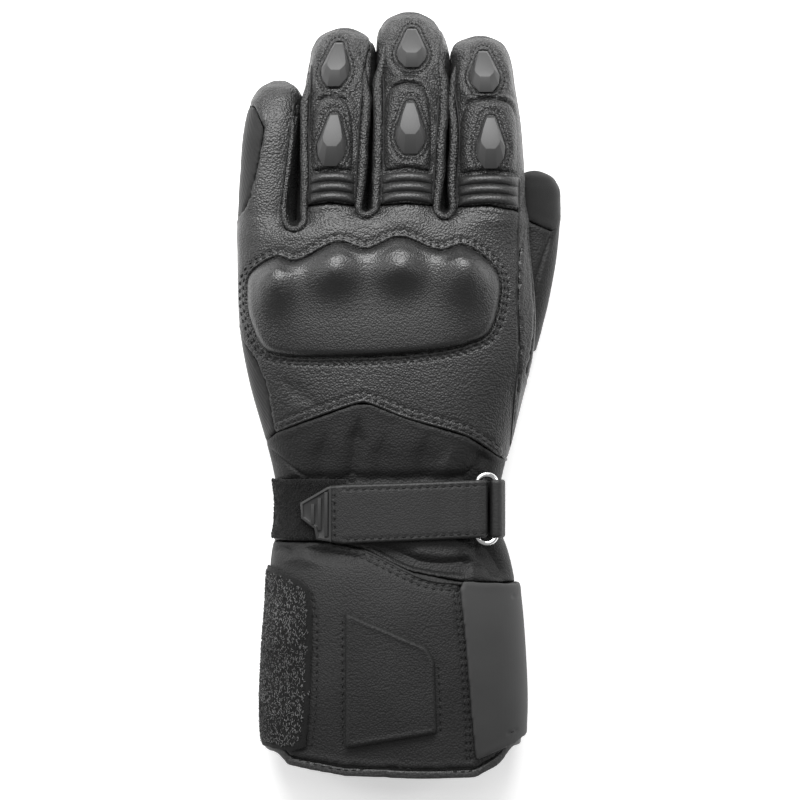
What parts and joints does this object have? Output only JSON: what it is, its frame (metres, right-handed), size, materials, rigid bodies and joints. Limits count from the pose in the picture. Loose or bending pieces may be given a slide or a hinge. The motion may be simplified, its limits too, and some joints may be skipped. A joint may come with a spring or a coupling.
{
  "type": "winter motorcycle glove",
  "caption": "Left gauntlet motorcycle glove in leather, lying palm down, with a hard knuckle guard, finger sliders, a wrist strap and an open cuff.",
  "frame": {"origin": "on the surface that the palm lies on, under the middle of the glove's box", "axes": "+Y from the cuff to the fingertips, +Z out of the back of the hand, +X towards the thumb side"},
  "size_m": [0.136, 0.3213, 0.0549],
  "materials": {
    "leather": "pebbled goatskin, satin",
    "guard_leather": "smooth leather stretched over a moulded guard",
    "side_textile": "dark woven stretch textile",
    "suede": "brushed suede, matt",
    "loop_fabric": "black brushed loop pile",
    "flecked_loop": "black loop pile with grey flecks",
    "flap_textile": "smooth coated textile",
    "rubber": "moulded satin rubber",
    "chrome": "polished plated wire"
  },
  "bodies": {
    "root": {"hand_back": "leather", "palm_panel": "leather", "finger_back_ring": "leather", "finger_back_middle": "leather", "finger_back_index": "leather", "fourchette_little_ring": "leather", "fourchette_ring_middle": "leather", "fourchette_middle_index": "leather", "index_side_wall": "leather", "little_side_upper": "side_textile", "little_side_lower": "side_textile", "thumb_shell": "leather", "thumb_tip_patch": "suede", "wrist_panel": "leather", "cuff_back": "leather", "cuff_palm": "leather", "hem_binding": "leather", "knuckle_guard": "guard_leather", "finger_pad_ring": "leather", "finger_pad_middle": "leather", "finger_pad_index": "leather", "slider_ring_tip": "rubber", "slider_ring_mid": "rubber", "slider_middle_tip": "rubber", "slider_middle_mid": "rubber", "slider_index_tip": "rubber", "slider_index_mid": "rubber", "flex_ribs_ring": "leather", "flex_ribs_middle": "leather", "flex_ribs_index": "leather", "wrist_loop_patch": "loop_fabric", "wrist_strap": "leather", "pull_tab": "rubber", "strap_ring": "chrome", "strap_anchor": "leather", "cuff_pad": "leather", "cuff_loop_patch": "flecked_loop", "closure_flap": "flap_textile"}
  },
  "joints": []
}
